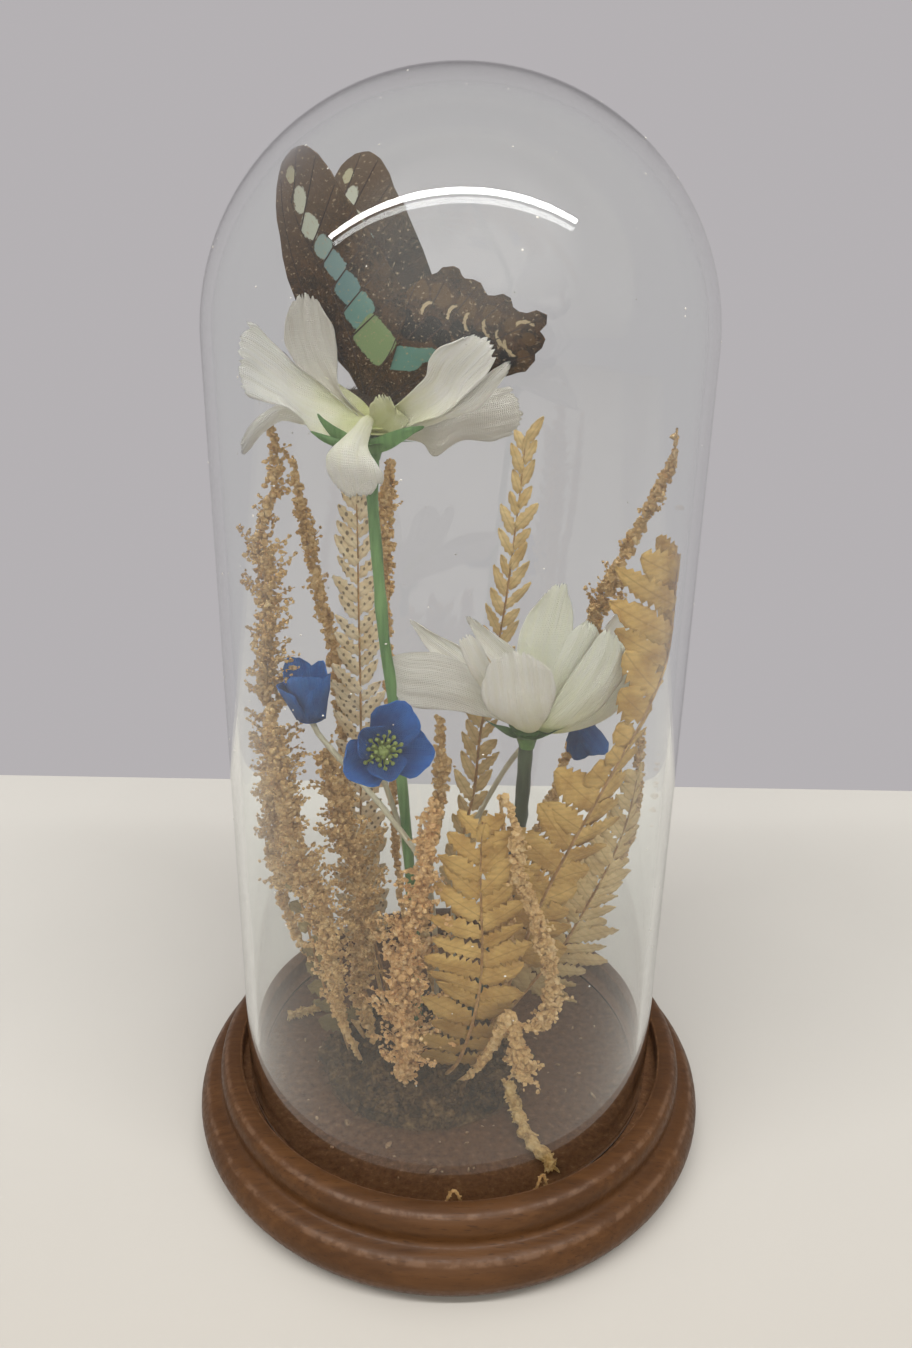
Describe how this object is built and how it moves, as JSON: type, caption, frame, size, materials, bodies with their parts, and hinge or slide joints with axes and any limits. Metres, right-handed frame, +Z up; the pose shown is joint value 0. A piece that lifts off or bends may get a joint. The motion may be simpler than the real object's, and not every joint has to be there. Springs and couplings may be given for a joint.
{
  "type": "insect in glass dome",
  "caption": "Preserved butterfly with closed wings perched on a silk flower among dried plants, under a clear glass dome that stands in the recess of a turned wooden base.",
  "frame": {"origin": "centre of the wooden base's underside, on the table", "axes": "+Z up through the dome; -Y is the front that the picture shows; +X to its right"},
  "size_m": [0.1012, 0.1012, 0.188],
  "materials": {
    "wood": "stained reddish brown, satin, with fine grain and worn pale edges",
    "glass": "clear blown glass, polished, thin",
    "moss": "dry dark brown moss, matt",
    "butterfly_scales": "matt brown wing scales with a cream to turquoise band and orange-brown patches",
    "white_silk": "off-white woven silk, matt, greenish near the middle",
    "blue_silk": "deep blue woven silk, matt, with fine ribs",
    "green_plastic": "dull green moulded plastic over wire",
    "stamens": "yellow-green, satin",
    "pale_wire": "pale wrapped wire, satin",
    "dried_fern": "dry golden brown, matt",
    "dried_seed_heads": "dry pinkish brown, matt",
    "twig": "bare dry twig, matt"
  },
  "bodies": {
    "root": {"blue_flower_front_petals": "blue_silk", "blue_flower_front_stamens": "stamens", "blue_flower_front_stem": "pale_wire", "blue_flower_left_petals": "blue_silk", "blue_flower_left_stamens": "stamens", "blue_flower_left_stem": "pale_wire", "blue_flower_right_petals": "blue_silk", "blue_flower_right_stamens": "stamens", "blue_flower_right_stem": "pale_wire", "butterfly": "butterfly_scales", "dried_leaf_left": "dried_fern", "dried_strand_front": "twig", "dried_strand_right": "twig", "fern_centre": "dried_fern", "fern_left_spotted": "dried_fern", "fern_right_broad": "dried_fern", "fern_right_thin": "dried_fern", "glass_dome": "glass", "leafy_frond": "dried_fern", "lower_flower_calyx": "green_plastic", "lower_flower_inner_petals": "white_silk", "lower_flower_middle_petals": "white_silk", "lower_flower_outer_petals": "white_silk", "lower_flower_stem": "green_plastic", "moss_mound": "moss", "seed_chain_hanging": "dried_seed_heads", "seed_plume_centre": "dried_seed_heads", "seed_plume_left": "dried_seed_heads", "seed_plume_left_low": "dried_seed_heads", "seed_spike_behind_stem": "green_plastic", "seed_spike_far_right": "dried_seed_heads", "seed_spike_left_tall": "dried_seed_heads", "seed_spike_left_thin": "dried_seed_heads", "seed_spike_middle": "dried_seed_heads", "seed_spike_right": "dried_seed_heads", "seed_tassel": "dried_seed_heads", "twig_front": "twig", "twig_left": "twig", "upper_flower_calyx": "green_plastic", "upper_flower_inner_petals": "white_silk", "upper_flower_outer_petals": "white_silk", "upper_flower_stem": "green_plastic", "wood_base": "wood"}
  },
  "joints": []
}
